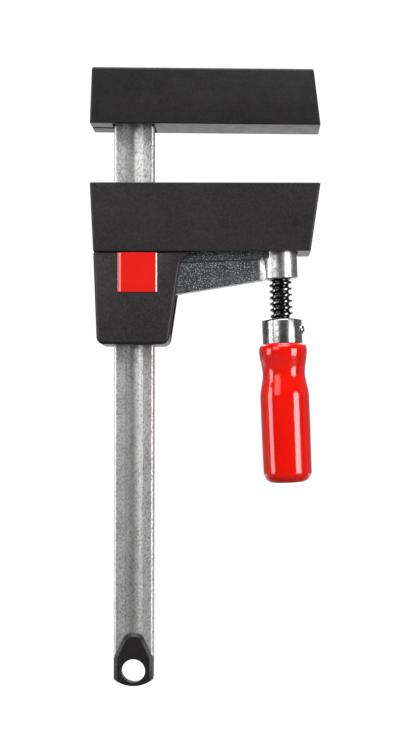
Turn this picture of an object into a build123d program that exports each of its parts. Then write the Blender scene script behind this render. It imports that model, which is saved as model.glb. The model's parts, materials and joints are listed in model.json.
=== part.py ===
from build123d import *
import os
from math import cos, radians, sin, tan

# Parallel clamp for woodwork, in millimetres.
# Origin: rail centreline in the plane of the fixed jaw's clamping face.
# +Z runs up the rail, +X out along the jaws to their tips, -Y is the front.

# Rail: drawn bar with a concave groove down each wide face
RAIL_WIDTH = 19.5
RAIL_THICKNESS = 9.5
RAIL_EDGE_RADIUS = 1.6
RAIL_GROOVE_WIDTH = 8.8
RAIL_GROOVE_DEPTH = 0.7
RAIL_BELOW_FACE = 258.5
RAIL_IN_JAW = 21.6

# Both jaws
THROAT = 80.9
HEEL = 11.2
JAW_WIDTH = 28.0
JAW_EDGE_RADIUS = 1.2
FACE_EDGE_RADIUS = 0.5
STEEL_SHEET = 2.0
FIT_GAP = 0.1
CUT_OVER = 1.0

# Fixed jaw: body moulded round a folded channel that is riveted to the rail
FIXED_JAW_HEIGHT = 27.1
FIXED_HEEL_DRAFT = 1.7
FIXED_TIP_DRAFT = 7.7
TOE_IN = 0.45
FIXED_CHANNEL_HEEL = 6.0
FIXED_CHANNEL_REACH = 68.0
FIXED_CHANNEL_LIFT = 6.6
FIXED_CHANNEL_TIP_HEIGHT = 10.0
RAIL_POCKET_DEPTH = 5.5
RAIL_POCKET_GAP = 0.5
RAIL_POCKET_WALL = 1.6
HEEL_SLOT_WIDTH = 3.4
HEEL_SLOT_DEPTH = 5.0
FIXED_RIVET_RADIUS = 2.0
FIXED_RIVET_HEAD_RADIUS = 3.2
FIXED_RIVET_HEAD_HEIGHT = 1.0
FIXED_RIVET_HEIGHTS = (11.0, 18.5)

# Movable jaw cover: shell with the clamping face, open underneath
OPENING = 28.5
COVER_HEIGHT = 33.0
COVER_HEEL_DRAFT = 2.9
COVER_TIP_DRAFT = 8.2
COVER_WALL = 2.6
COVER_FACE_WALL = 3.6
COVER_RAIL_GAP = 0.4

# Movable jaw channel: stiffens the cover and carries the thrust parts
MOVABLE_CHANNEL_DEPTH = 23.4
MOVABLE_CHANNEL_HEEL = 6.6
MOVABLE_CHANNEL_REACH = 71.0
MOVABLE_CHANNEL_CORNER = 4.0

# Guide housing: box below the cover that runs on the rail
HOUSING_STEP = 0.3
SHADOW_GAP = 1.3
HOUSING_HEEL_TOP = 9.5
HOUSING_HEEL_BOTTOM = 7.75
HOUSING_THROAT_BOTTOM = 7.3
HOUSING_THROAT_DRAFT = 8.3
HOUSING_FLARE_TIP = 0.35
HOUSING_FLARE_RADIUS = 8.2
HOUSING_CORNER_RADIUS = 3.6
HOUSING_EDGE_RADIUS = 1.6
HOUSING_FLOOR = 4.85
NECK_HEEL = 6.7
NECK_THROAT = 14.0
GUIDE_GAP = 0.15
FLOOR_RAIL_GAP = 0.4

# Steel parts that guide and brake the jaw on the rail
GUIDE_PIN_RADIUS = 2.5
GUIDE_PIN_DEPTH = 11.0
GUIDE_PIN_GAP = 0.08
GUIDE_PLATE_THICKNESS = 2.0
GUIDE_PLATE_MARGIN = 4.75
SPRING_THICKNESS = 0.5
SPRING_WIDTH = 6.0
SPRING_HEIGHT = 15.0
SPRING_BOW = 2.0
SPRING_DEPTH = 11.0
CHANNEL_RIVET_RADIUS = 1.4
CHANNEL_RIVET_HEEL = 4.7
CHANNEL_RIVET_THROAT = 7.5
CHANNEL_RIVET_UPPER_DEPTH = 9.0
CHANNEL_RIVET_LOWER_DEPTH = 24.5

# Badges: bare plastic inserts, one on each face of the housing
BADGE_WIDTH = 19.3
BADGE_HEIGHT = 19.1
BADGE_THICKNESS = 1.7
BADGE_PROUD = 0.5
BADGE_COVER_GAP = 0.9
BADGE_SHIFT = 2.2
BADGE_SIDE_BEVEL = 2.0
BADGE_SIDE_FALL = 0.6
BADGE_EDGE_RADIUS = 0.25

# Tilting thrust parts: a cross barrel in a seat, with the spindle's journal in it
PIVOT_REACH = 60.65
PIVOT_DEPTH = 21.0
TILT = 2.3
BARREL_RADIUS = 7.0
TRUNNION_RADIUS = 3.0
RUNNING_GAP = 0.05
THRUST_BLOCK_LENGTH = 19.0
THRUST_BLOCK_BELOW_BARREL_TOP = 5.0
JOURNAL_RADIUS = 3.5
JOURNAL_TOP = 2.4
NECK_GROOVE_RADIUS = 2.2
NECK_GROOVE_HEIGHT = 3.0
NECK_GROOVE_LOW = 3.0
RETAINING_PIN_RADIUS = 1.2
RETAINING_PIN_SIDE_GAP = 0.15

# Sliding arm: cast T-section that grips the rail when it is square to it
ARM_BELOW_BOSS_TOP = 2.3
ARM_FLANGE_THICKNESS = 4.8
ARM_FLANGE_WIDTH = 14.0
ARM_WEB_WIDTH = 8.0
ARM_WEB_TIP_DEPTH = 14.9
ARM_BLOCK_HEIGHT = 20.6
ARM_BLOCK_WIDTH = 17.6
ARM_HEEL_BAR = 3.2
ARM_THROAT_BAR = 6.6
ARM_BLEND_RADIUS = 0.8
ARM_PLAY_HEEL = 2.2
ARM_PLAY_THROAT = 0.1
ARM_PLAY_SIDE = 0.3
ARM_TRAVEL = 18.0
CHAMBER_GAP = 0.35

# Threaded boss at the arm's end
BOSS_RADIUS = 8.6
BOSS_HEIGHT = 16.9
BOSS_TOP_GAP = 0.7
BOSS_FOOT_LENGTH = 2.6
BOSS_FOOT_WIDTH = 9.2
BOSS_FOOT_END_WIDTH = 5.0
BOSS_EDGE_CHAMFER = 0.4

# Spindle and handle, distances run down the spindle axis from the pivot
SPINDLE_RADIUS = 5.5
SHOULDER_GAP = 0.4
THREAD_SPARE = 1.5
FERRULE_HEIGHT = 12.2
FERRULE_RADIUS = 9.7
FERRULE_WALL = 1.2
FERRULE_CHAMFER = 0.8
TANG_RADIUS = 4.5
TANG_LENGTH = 50.0
HANDLE_LENGTH = 68.6
HANDLE_TOP_RADIUS = 10.0
HANDLE_SHOULDER_RADIUS = 11.6
HANDLE_SHOULDER_DEPTH = 3.6
HANDLE_WAIST_RADIUS = 10.25
HANDLE_WAIST_DEPTH = 14.5
HANDLE_GRIP_RADIUS = 11.7
HANDLE_GRIP_DEPTH = 27.0
HANDLE_END_RADIUS = 5.0
HANDLE_END_CROWN = 0.5
HANDLE_PIN_RADIUS = 1.6
HANDLE_PIN_HEAD_RADIUS = 2.3
HANDLE_PIN_HEAD_HEIGHT = 1.4
HANDLE_PIN_DEPTH = 4.4

# End cap: plug with an arched tongue on each wide face of the rail
CAP_WIDTH = 19.2
CAP_THICKNESS = 12.6
CAP_LENGTH = 14.3
CAP_SIDE_LENGTH = 10.9
CAP_SHOULDER_BELOW_RAIL = 0.5
CAP_ARCH_ANGLE = 25.9
CAP_PEAK_RADIUS = 6.0
CAP_BEVEL = 1.7
CAP_BEVEL_FALL = 1.2
CAP_HOLE_RADIUS = 5.75
CAP_HOLE_LAND = 5.0
CAP_HOLE_BACK_RADIUS = 6.6
CAP_HOLE_BELOW_RAIL = 7.0

# Places that follow from the sizes above
RAIL_EDGE = RAIL_WIDTH / 2
HEEL_X = -RAIL_EDGE - HEEL
TIP_X = RAIL_EDGE + THROAT
PIVOT_X = RAIL_EDGE + PIVOT_REACH
PIVOT_Z = -OPENING - PIVOT_DEPTH
FACE_Z = -OPENING
CHANNEL_OUTER = JAW_WIDTH / 2 - COVER_WALL - FIT_GAP
CHANNEL_INNER = CHANNEL_OUTER - STEEL_SHEET
WEB_TOP_Z = FACE_Z - COVER_FACE_WALL
WEB_LOW_Z = WEB_TOP_Z - STEEL_SHEET
CHANNEL_LOW_Z = WEB_TOP_Z - MOVABLE_CHANNEL_DEPTH
HOUSING_TOP_Z = FACE_Z - COVER_HEIGHT - SHADOW_GAP
HOUSING_HALF = JAW_WIDTH / 2 - HOUSING_STEP
BOSS_TOP = -BARREL_RADIUS - BOSS_TOP_GAP
ARM_TOP = BOSS_TOP - ARM_BELOW_BOSS_TOP
ARM_LOW = ARM_TOP - ARM_BLOCK_HEIGHT
ARM_LEFT = -PIVOT_X - RAIL_EDGE - ARM_PLAY_HEEL - ARM_HEEL_BAR
ARM_BLOCK_RIGHT = -PIVOT_X + RAIL_EDGE + ARM_PLAY_THROAT + ARM_THROAT_BAR
CHAMBER_HALF = ARM_BLOCK_WIDTH / 2 + CHAMBER_GAP
CHAMBER_TOP_Z = PIVOT_Z + ARM_TOP + CHAMBER_GAP
ARM_LOWEST = ARM_LEFT * sin(radians(TILT)) + (ARM_LOW - ARM_TRAVEL) * cos(radians(TILT))
CHAMBER_LOW_Z = PIVOT_Z + ARM_LOWEST - CHAMBER_GAP
HOUSING_LOW_Z = CHAMBER_LOW_Z - HOUSING_FLOOR
SPINDLE_TOP = -BARREL_RADIUS - SHOULDER_GAP
FERRULE_DEPTH = BOSS_HEIGHT - BOSS_TOP + ARM_TRAVEL + THREAD_SPARE
HANDLE_TOP = -FERRULE_DEPTH - FERRULE_HEIGHT


def slab(face, width):
    """Side-view face, thickened to both sides of the clamp's middle plane."""
    return extrude(Plane.XZ * face, width / 2, both=True)


def outline(*points):
    """Closed straight-sided face through points given as (across, up)."""
    return make_face(Polyline(*points, close=True))


def block(x_low, x_high, half_width, z_low, z_high):
    """Rectangular block, centred on the clamp's middle plane."""
    centre = Pos((x_low + x_high) / 2, 0, (z_low + z_high) / 2)
    return centre * Box(x_high - x_low, 2 * half_width, z_high - z_low)


def cross_pin(x, z, radius, length):
    """Round pin through the clamp from front to back."""
    return Pos(x, 0, z) * Rot(90, 0, 0) * Cylinder(radius, length)


def upright(x, z_low, z_high, radius):
    """Round rod standing along Z."""
    return Pos(x, 0, (z_low + z_high) / 2) * Cylinder(radius, z_high - z_low)


def tilted(shape):
    """Place a shape that was drawn with the pivot at its origin and its axis upright."""
    return Pos(PIVOT_X, 0, PIVOT_Z) * Rot(0, -TILT, 0) * shape


def rail_section(gap=0.0):
    """Grooved section of the rail, grown by a clearance."""
    section = RectangleRounded(RAIL_WIDTH, RAIL_THICKNESS, RAIL_EDGE_RADIUS)
    half_chord = RAIL_GROOVE_WIDTH / 2
    radius = (half_chord**2 + RAIL_GROOVE_DEPTH**2) / (2 * RAIL_GROOVE_DEPTH)
    centre = RAIL_THICKNESS / 2 - RAIL_GROOVE_DEPTH + radius
    for side in (-1, 1):
        section -= Pos(0, side * centre) * Circle(radius)
    return offset(section, gap) if gap else section


def rail_space(z_low, z_high, gap):
    """Room for the rail between two heights."""
    return Pos(0, 0, z_low) * extrude(rail_section(gap), z_high - z_low)


def make_rail():
    rail = rail_space(-RAIL_BELOW_FACE, RAIL_IN_JAW, 0)
    for height in FIXED_RIVET_HEIGHTS:
        rail -= cross_pin(0, height, FIXED_RIVET_RADIUS, RAIL_THICKNESS)
    return rail


def jaw_outline(height, drafts, inset=0.0, start=0.0):
    """Side view of a jaw that narrows by its heel and tip drafts; the height is negative downwards."""
    heel_fall, tip_fall = [tan(radians(draft)) for draft in drafts]
    heel = HEEL_X + inset
    tip = TIP_X - inset
    return outline(
        (heel + abs(start) * heel_fall, start),
        (tip - abs(start) * tip_fall, start),
        (tip - abs(height) * tip_fall, height),
        (heel + abs(height) * heel_fall, height),
    )


def round_jaw(jaw, face_z):
    """Round a jaw's outside: finely at the clamping face, more fully away from it."""
    jaw = fillet([edge for edge in jaw.edges() if abs(edge.center().Z - face_z) > CUT_OVER], JAW_EDGE_RADIUS)
    return fillet([edge for edge in jaw.edges() if abs(edge.center().Z - face_z) < FIT_GAP], FACE_EDGE_RADIUS)


def fixed_channel_outline():
    """Side view of the fixed jaw's channel, which is shallower at the tip."""
    top = RAIL_IN_JAW + STEEL_SHEET
    heel = -RAIL_EDGE - FIXED_CHANNEL_HEEL
    tip = RAIL_EDGE + FIXED_CHANNEL_REACH
    return outline(
        (heel, FIXED_CHANNEL_LIFT),
        (RAIL_EDGE * 2, FIXED_CHANNEL_LIFT),
        (tip, top - FIXED_CHANNEL_TIP_HEIGHT),
        (tip, top),
        (heel, top),
    )


def fixed_rivet_heads(height, gap=0.0):
    """Both heads of a fixed jaw rivet as one cylinder, grown by a clearance."""
    over_heads = RAIL_THICKNESS + 2 * (STEEL_SHEET + FIXED_RIVET_HEAD_HEIGHT)
    return cross_pin(0, height, FIXED_RIVET_HEAD_RADIUS + gap, over_heads + 2 * gap)


def fixed_rivet(height):
    """Flat-headed rivet through the channel and the rail."""
    grip = RAIL_THICKNESS + 2 * STEEL_SHEET
    heads = fixed_rivet_heads(height) - cross_pin(0, height, 2 * FIXED_RIVET_HEAD_RADIUS, grip)
    return heads + cross_pin(0, height, FIXED_RIVET_RADIUS, grip)


def make_fixed_jaw_rivets():
    return Compound(children=[fixed_rivet(height) for height in FIXED_RIVET_HEIGHTS])


def make_fixed_jaw_channel():
    channel = slab(fixed_channel_outline(), RAIL_THICKNESS + 2 * STEEL_SHEET)
    channel -= block(HEEL_X, TIP_X, RAIL_THICKNESS / 2, 0, RAIL_IN_JAW)
    for height in FIXED_RIVET_HEIGHTS:
        channel -= cross_pin(0, height, FIXED_RIVET_RADIUS, JAW_WIDTH)
    return channel


def make_fixed_jaw_body():
    drafts = (FIXED_HEEL_DRAFT, FIXED_TIP_DRAFT)
    body = round_jaw(slab(jaw_outline(FIXED_JAW_HEIGHT, drafts), JAW_WIDTH), 0)
    body = Rot(0, TOE_IN, 0) * body
    cavity_width = RAIL_THICKNESS + 2 * (STEEL_SHEET + FIT_GAP)
    body -= slab(offset(fixed_channel_outline(), FIT_GAP, kind=Kind.INTERSECTION), cavity_width)
    for height in FIXED_RIVET_HEIGHTS:
        body -= fixed_rivet_heads(height, FIT_GAP)
    body -= rail_space(0, FIXED_CHANNEL_LIFT, GUIDE_GAP)
    pocket_edge = RAIL_EDGE + RAIL_POCKET_GAP
    pocket_half = JAW_WIDTH / 2 - RAIL_POCKET_WALL
    body -= block(-pocket_edge, pocket_edge, pocket_half, -CUT_OVER, RAIL_POCKET_DEPTH)
    body -= block(HEEL_X - CUT_OVER, 0, HEEL_SLOT_WIDTH / 2, -CUT_OVER, HEEL_SLOT_DEPTH)
    return body


def make_end_cap():
    shoulder = -RAIL_BELOW_FACE - CAP_SHOULDER_BELOW_RAIL
    side = -RAIL_BELOW_FACE - CAP_SIDE_LENGTH
    foot = -RAIL_BELOW_FACE - CAP_LENGTH
    half = CAP_WIDTH / 2
    apex = shoulder + half / tan(radians(CAP_ARCH_ANGLE))
    arch = outline((-half, side), (half, side), (half, shoulder), (0, apex), (-half, shoulder))
    arch = fillet(arch.vertices().sort_by(Axis.Y)[-1], CAP_PEAK_RADIUS)
    rounded_foot = make_face([
        ThreePointArc((-half, side), (0, foot), (half, side)),
        Line((half, side), (-half, side)),
    ])
    cap = slab(arch + rounded_foot, CAP_THICKNESS)
    for side_y in (-CAP_THICKNESS / 2, CAP_THICKNESS / 2):
        face = cap.faces().filter_by(Axis.Y).sort_by(lambda face: abs(face.center().Y - side_y))[0]
        rim = [edge for edge in face.edges() if edge.center().Z > side - 0.01]
        cap = chamfer(rim, CAP_BEVEL, CAP_BEVEL_FALL, reference=face)
    cap -= rail_space(-RAIL_BELOW_FACE, 0, 0)
    return cap - cap_hole()


def cap_hole():
    """Hanging hole: round land at the front that widens to the back."""
    height = -RAIL_BELOW_FACE - CAP_HOLE_BELOW_RAIL
    front = -CAP_THICKNESS / 2
    from_front = (Align.CENTER, Align.CENTER, Align.MIN)
    land = Cylinder(CAP_HOLE_RADIUS, CAP_HOLE_LAND, align=from_front)
    depth = CAP_THICKNESS - CAP_HOLE_LAND
    widening = Cone(CAP_HOLE_RADIUS, CAP_HOLE_BACK_RADIUS, depth, align=from_front)
    return Pos(0, front, height) * Rot(-90, 0, 0) * (land + Pos(0, 0, CAP_HOLE_LAND) * widening)


def make_movable_jaw_cover():
    drafts = (COVER_HEEL_DRAFT, COVER_TIP_DRAFT)
    past_rim = -COVER_HEIGHT - 2 * JAW_EDGE_RADIUS
    shell = round_jaw(slab(jaw_outline(past_rim, drafts), JAW_WIDTH), 0)
    shell &= block(HEEL_X, TIP_X, JAW_WIDTH, -COVER_HEIGHT, 0)
    inside = jaw_outline(-COVER_HEIGHT - CUT_OVER, drafts, COVER_WALL, -COVER_FACE_WALL)
    shell -= slab(inside, JAW_WIDTH - 2 * COVER_WALL)
    return Pos(0, 0, FACE_Z) * shell - rail_space(WEB_TOP_Z - CUT_OVER, FACE_Z + CUT_OVER, COVER_RAIL_GAP)


def guide_pin_place():
    """Centre of the upper guide pin, which nearly touches the rail's throat side."""
    return RAIL_EDGE + GUIDE_PIN_GAP + GUIDE_PIN_RADIUS, FACE_Z - GUIDE_PIN_DEPTH


def channel_rivet_places():
    """Two rivets behind the rail and one in front of it."""
    heel = -RAIL_EDGE - CHANNEL_RIVET_HEEL
    throat = RAIL_EDGE + CHANNEL_RIVET_THROAT
    upper = FACE_Z - CHANNEL_RIVET_UPPER_DEPTH
    lower = FACE_Z - CHANNEL_RIVET_LOWER_DEPTH
    return (heel, upper), (heel, lower), (throat, lower)


def make_movable_jaw_channel():
    heel = -RAIL_EDGE - MOVABLE_CHANNEL_HEEL
    tip = RAIL_EDGE + MOVABLE_CHANNEL_REACH
    side_view = outline(
        (heel, WEB_TOP_Z),
        (tip, WEB_TOP_Z),
        (tip, CHANNEL_LOW_Z + MOVABLE_CHANNEL_CORNER),
        (tip - MOVABLE_CHANNEL_CORNER, CHANNEL_LOW_Z),
        (heel, CHANNEL_LOW_Z),
    )
    channel = slab(side_view, 2 * CHANNEL_OUTER)
    channel -= block(heel, tip, CHANNEL_INNER, CHANNEL_LOW_Z, WEB_LOW_Z)
    channel -= rail_space(WEB_LOW_Z, WEB_TOP_Z, COVER_RAIL_GAP)
    channel -= cross_pin(PIVOT_X, PIVOT_Z, TRUNNION_RADIUS + RUNNING_GAP, JAW_WIDTH)
    pin_x, pin_z = guide_pin_place()
    channel -= cross_pin(pin_x, pin_z, GUIDE_PIN_RADIUS, JAW_WIDTH)
    for x, z in channel_rivet_places():
        channel -= cross_pin(x, z, CHANNEL_RIVET_RADIUS, JAW_WIDTH)
    return channel


def make_channel_rivets():
    rivets = [cross_pin(x, z, CHANNEL_RIVET_RADIUS, 2 * CHANNEL_OUTER) for x, z in channel_rivet_places()]
    return Compound(children=rivets)


def make_upper_guide_pin():
    x, z = guide_pin_place()
    return cross_pin(x, z, GUIDE_PIN_RADIUS, 2 * CHANNEL_OUTER)


def make_thrust_block():
    low = PIVOT_Z + BARREL_RADIUS - THRUST_BLOCK_BELOW_BARREL_TOP
    half = THRUST_BLOCK_LENGTH / 2
    seat = block(PIVOT_X - half, PIVOT_X + half, CHANNEL_INNER, low, WEB_LOW_Z)
    return seat - cross_pin(PIVOT_X, PIVOT_Z, BARREL_RADIUS + RUNNING_GAP, JAW_WIDTH)


def housing_flare():
    """Start and crest of the arc where the housing's throat side turns outwards under the cover."""
    draft = radians(HOUSING_THROAT_DRAFT)
    crest_z = HOUSING_TOP_Z - HOUSING_FLARE_TIP
    start_z = crest_z - HOUSING_FLARE_RADIUS * (1 - sin(draft))
    throat_x = RAIL_EDGE + HOUSING_THROAT_BOTTOM
    start_x = throat_x + (start_z - HOUSING_LOW_Z) * tan(draft)
    return (start_x, start_z), (start_x + HOUSING_FLARE_RADIUS * cos(draft), crest_z)


def housing_shell():
    """Rounded outside of the housing, drawn past its top and its flare and then trimmed to them."""
    draft = radians(HOUSING_THROAT_DRAFT)
    start, crest = housing_flare()
    heel_low = (-RAIL_EDGE - HOUSING_HEEL_BOTTOM, HOUSING_LOW_Z)
    heel_top = (-RAIL_EDGE - HOUSING_HEEL_TOP, HOUSING_TOP_Z)
    past_x = crest[0] + 2 * HOUSING_EDGE_RADIUS
    past_z = HOUSING_TOP_Z + 2 * HOUSING_EDGE_RADIUS
    side_view = make_face([
        Polyline(heel_top, heel_low, (RAIL_EDGE + HOUSING_THROAT_BOTTOM, HOUSING_LOW_Z), start),
        TangentArc(start, crest, tangent=(sin(draft), cos(draft))),
        Polyline(crest, (past_x, crest[1]), (past_x, past_z), (heel_top[0], past_z), heel_top),
    ])
    feet = side_view.vertices().sort_by(Axis.Y)[:2]
    box = slab(fillet(feet, HOUSING_CORNER_RADIUS), 2 * HOUSING_HALF)
    sides = [edge for edge in box.edges() if abs(abs(edge.center().Y) - HOUSING_HALF) < 0.01]
    rim = [edge for edge in sides if edge.center().Z < crest[1] + 0.01]
    trim = block(heel_top[0], crest[0], HOUSING_HALF, HOUSING_LOW_Z, HOUSING_TOP_Z)
    return fillet(rim, HOUSING_EDGE_RADIUS) & trim


def make_guide_housing():
    box = housing_shell()
    heel = -RAIL_EDGE - NECK_HEEL
    throat = RAIL_EDGE + NECK_THROAT
    box += block(heel, throat, CHANNEL_OUTER, HOUSING_TOP_Z, CHANNEL_LOW_Z)
    box += block(heel, throat, CHANNEL_INNER, CHANNEL_LOW_Z, WEB_LOW_Z)
    arm_heel = PIVOT_X + ARM_LEFT - CHAMBER_GAP
    box -= block(arm_heel, TIP_X, CHAMBER_HALF, CHAMBER_LOW_Z, CHAMBER_TOP_Z)
    box -= guide_plate_blank(FIT_GAP)
    box -= rail_space(CHAMBER_TOP_Z - CUT_OVER, WEB_TOP_Z, GUIDE_GAP)
    box -= rail_space(HOUSING_LOW_Z - CUT_OVER, CHAMBER_LOW_Z, FLOOR_RAIL_GAP)
    pin_x, pin_z = guide_pin_place()
    box -= cross_pin(pin_x, pin_z, GUIDE_PIN_RADIUS, JAW_WIDTH)
    for x, z in channel_rivet_places():
        box -= cross_pin(x, z, CHANNEL_RIVET_RADIUS, 2 * CHANNEL_OUTER)
    spring_top = FACE_Z - SPRING_DEPTH + SPRING_THICKNESS
    pocket_depth = SPRING_BOW + 2 * SPRING_THICKNESS
    box -= block(
        -RAIL_EDGE - pocket_depth,
        -RAIL_EDGE + RAIL_EDGE_RADIUS,
        SPRING_WIDTH / 2 + FIT_GAP,
        spring_top - SPRING_HEIGHT - 2 * SPRING_THICKNESS,
        spring_top,
    )
    for side in (-1, 1):
        box -= badge_blank(side)
    return box


def guide_plate_blank(gap=0.0):
    """Hardened plate on the housing's floor, before the rail's hole is cut."""
    half_length = RAIL_EDGE + GUIDE_PLATE_MARGIN + gap
    half_width = CHAMBER_HALF - FIT_GAP + gap
    low = CHAMBER_LOW_Z - GUIDE_PLATE_THICKNESS
    return block(-half_length, half_length, half_width, low, CHAMBER_LOW_Z)


def make_lower_guide_plate():
    return guide_plate_blank() - rail_space(HOUSING_LOW_Z, CHAMBER_LOW_Z, GUIDE_PIN_GAP)


def make_brake_spring():
    """Bowed leaf whose middle rests on the rail's heel side."""
    top = FACE_Z - SPRING_DEPTH
    crest = -RAIL_EDGE - GUIDE_PIN_GAP
    root = crest - SPRING_BOW
    low = top - SPRING_HEIGHT
    middle = (top + low) / 2
    thick = SPRING_THICKNESS
    leaf = make_face([
        ThreePointArc((root, top), (crest, middle), (root, low)),
        Line((root, low), (root - thick, low)),
        ThreePointArc((root - thick, low), (crest - thick, middle), (root - thick, top)),
        Line((root - thick, top), (root, top)),
    ])
    return slab(leaf, SPRING_WIDTH)


def badge_blank(side):
    """Space of a badge; the side is -1 for the front and 1 for the back."""
    outer = HOUSING_HALF + BADGE_PROUD
    high = FACE_Z - COVER_HEIGHT - BADGE_COVER_GAP
    centre = Pos(BADGE_SHIFT, side * (outer - BADGE_THICKNESS / 2), high - BADGE_HEIGHT / 2)
    return centre * Box(BADGE_WIDTH, BADGE_THICKNESS, BADGE_HEIGHT)


def make_badge(side):
    badge = badge_blank(side)
    outer = HOUSING_HALF + BADGE_PROUD
    face = badge.faces().sort_by(Axis.Y)[-1 if side > 0 else 0]
    upright_edges = face.edges().filter_by(Axis.Z)
    badge = chamfer(upright_edges, BADGE_SIDE_BEVEL, BADGE_SIDE_FALL, reference=face)
    front_edges = [edge for edge in badge.edges() if abs(abs(edge.center().Y) - outer) < 0.01]
    return fillet(front_edges, BADGE_EDGE_RADIUS)


def make_thrust_rocker():
    barrel = cross_pin(0, 0, BARREL_RADIUS, 2 * (CHANNEL_INNER - RETAINING_PIN_SIDE_GAP))
    barrel += cross_pin(0, 0, TRUNNION_RADIUS, 2 * CHANNEL_OUTER)
    barrel -= upright(0, -BARREL_RADIUS - CUT_OVER, JOURNAL_TOP + RUNNING_GAP, JOURNAL_RADIUS + RUNNING_GAP)
    x, z = retaining_pin_place()
    barrel -= cross_pin(x, z, RETAINING_PIN_RADIUS, JAW_WIDTH)
    return tilted(barrel)


def retaining_pin_place():
    """The pin passes beside the journal's neck, inside its groove."""
    x = NECK_GROOVE_RADIUS + RETAINING_PIN_SIDE_GAP + RETAINING_PIN_RADIUS
    return x, -NECK_GROOVE_LOW + NECK_GROOVE_HEIGHT / 2


def make_retaining_pin():
    x, z = retaining_pin_place()
    return tilted(cross_pin(x, z, RETAINING_PIN_RADIUS, 2 * (CHANNEL_INNER - RETAINING_PIN_SIDE_GAP)))


def boss_barrel():
    """Round part of the boss."""
    boss = upright(0, BOSS_TOP - BOSS_HEIGHT, BOSS_TOP, BOSS_RADIUS)
    return chamfer(boss.edges().filter_by(GeomType.CIRCLE), BOSS_EDGE_CHAMFER)


def boss_foot(end_width):
    """Foot on the boss that carries the arm's web; seen from above it widens towards the boss."""
    end = -BOSS_RADIUS - BOSS_FOOT_LENGTH
    full = BOSS_FOOT_WIDTH / 2
    meets_boss = -((BOSS_RADIUS**2 - full**2) ** 0.5)
    narrow = end_width / 2
    corners = [(end, narrow), (meets_boss, full), (0, full)]
    plan = outline(*corners, *[(x, -y) for x, y in reversed(corners)])
    height = ARM_WEB_TIP_DEPTH - ARM_FLANGE_THICKNESS
    return Pos(0, 0, ARM_TOP - ARM_WEB_TIP_DEPTH) * extrude(plan, height)


def make_arm_boss():
    bore = upright(0, -2 * FERRULE_DEPTH, 0, SPINDLE_RADIUS + RUNNING_GAP)
    return tilted(boss_barrel() + boss_foot(BOSS_FOOT_END_WIDTH) - bore)


def make_sliding_arm():
    web = outline(
        (ARM_LEFT, ARM_TOP),
        (ARM_LEFT, ARM_LOW),
        (ARM_BLOCK_RIGHT, ARM_LOW),
        (-BOSS_RADIUS, ARM_TOP - ARM_WEB_TIP_DEPTH),
        (-BOSS_RADIUS, ARM_TOP),
    )
    arm = slab(web, ARM_WEB_WIDTH)
    flange_low = ARM_TOP - ARM_FLANGE_THICKNESS
    arm += block(ARM_LEFT, 0, ARM_FLANGE_WIDTH / 2, flange_low, ARM_TOP)
    arm = fillet(inner_corners(arm, flange_low), ARM_BLEND_RADIUS)
    clamp_block = block(ARM_LEFT, ARM_BLOCK_RIGHT, ARM_BLOCK_WIDTH / 2, ARM_LOW, ARM_TOP)
    arm += fillet(clamp_block.edges().filter_by(Axis.Z), ARM_BLEND_RADIUS)
    window_low = -PIVOT_X - RAIL_EDGE - ARM_PLAY_HEEL
    window_high = -PIVOT_X + RAIL_EDGE + ARM_PLAY_THROAT
    arm -= block(window_low, window_high, RAIL_THICKNESS / 2 + ARM_PLAY_SIDE, ARM_LOW, ARM_TOP)
    return tilted(arm - boss_barrel() - boss_foot(BOSS_FOOT_WIDTH))


def inner_corners(arm, height):
    """Edges where the web runs into the flange's underside."""
    return [
        edge
        for edge in arm.edges()
        if abs(edge.center().Z - height) < 0.01 and abs(abs(edge.center().Y) - ARM_WEB_WIDTH / 2) < 0.01
    ]


def make_spindle():
    spindle = upright(0, SPINDLE_TOP, JOURNAL_TOP, JOURNAL_RADIUS)
    groove_top = NECK_GROOVE_HEIGHT - NECK_GROOVE_LOW
    ring = upright(0, -NECK_GROOVE_LOW, groove_top, JOURNAL_RADIUS + CUT_OVER)
    spindle -= ring - upright(0, -NECK_GROOVE_LOW, groove_top, NECK_GROOVE_RADIUS)
    spindle += upright(0, -FERRULE_DEPTH - FERRULE_WALL, SPINDLE_TOP, SPINDLE_RADIUS)
    spindle += upright(0, -FERRULE_DEPTH - FERRULE_WALL - TANG_LENGTH, SPINDLE_TOP, TANG_RADIUS)
    return tilted(spindle - pin_shank())


def pin_shank():
    """Straight part of the handle's cross pin."""
    height = -FERRULE_DEPTH - HANDLE_PIN_DEPTH
    return Pos(0, 0, height) * Rot(0, 90, 0) * Cylinder(HANDLE_PIN_RADIUS, 2 * FERRULE_RADIUS)


def make_handle_pin():
    head_sphere = (HANDLE_PIN_HEAD_RADIUS**2 + HANDLE_PIN_HEAD_HEIGHT**2) / (2 * HANDLE_PIN_HEAD_HEIGHT)
    height = -FERRULE_DEPTH - HANDLE_PIN_DEPTH
    centre = FERRULE_RADIUS + HANDLE_PIN_HEAD_HEIGHT - head_sphere
    head = Pos(centre, 0, height) * Sphere(head_sphere)
    reach = 2 * FERRULE_RADIUS
    head &= block(0, reach, HANDLE_PIN_HEAD_RADIUS, height - reach, height + reach)
    head -= upright(0, height - reach, height + reach, FERRULE_RADIUS)
    return tilted(head + pin_shank())


def make_ferrule():
    low = HANDLE_TOP
    sleeve = upright(0, low, -FERRULE_DEPTH, FERRULE_RADIUS)
    top_rim = sleeve.edges().filter_by(GeomType.CIRCLE).sort_by(Axis.Z)[-1]
    sleeve = chamfer(top_rim, FERRULE_CHAMFER)
    sleeve -= upright(0, low, -FERRULE_DEPTH - FERRULE_WALL, FERRULE_RADIUS - FERRULE_WALL)
    sleeve -= upright(0, low, -FERRULE_DEPTH, SPINDLE_RADIUS)
    return tilted(sleeve - pin_shank())


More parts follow.
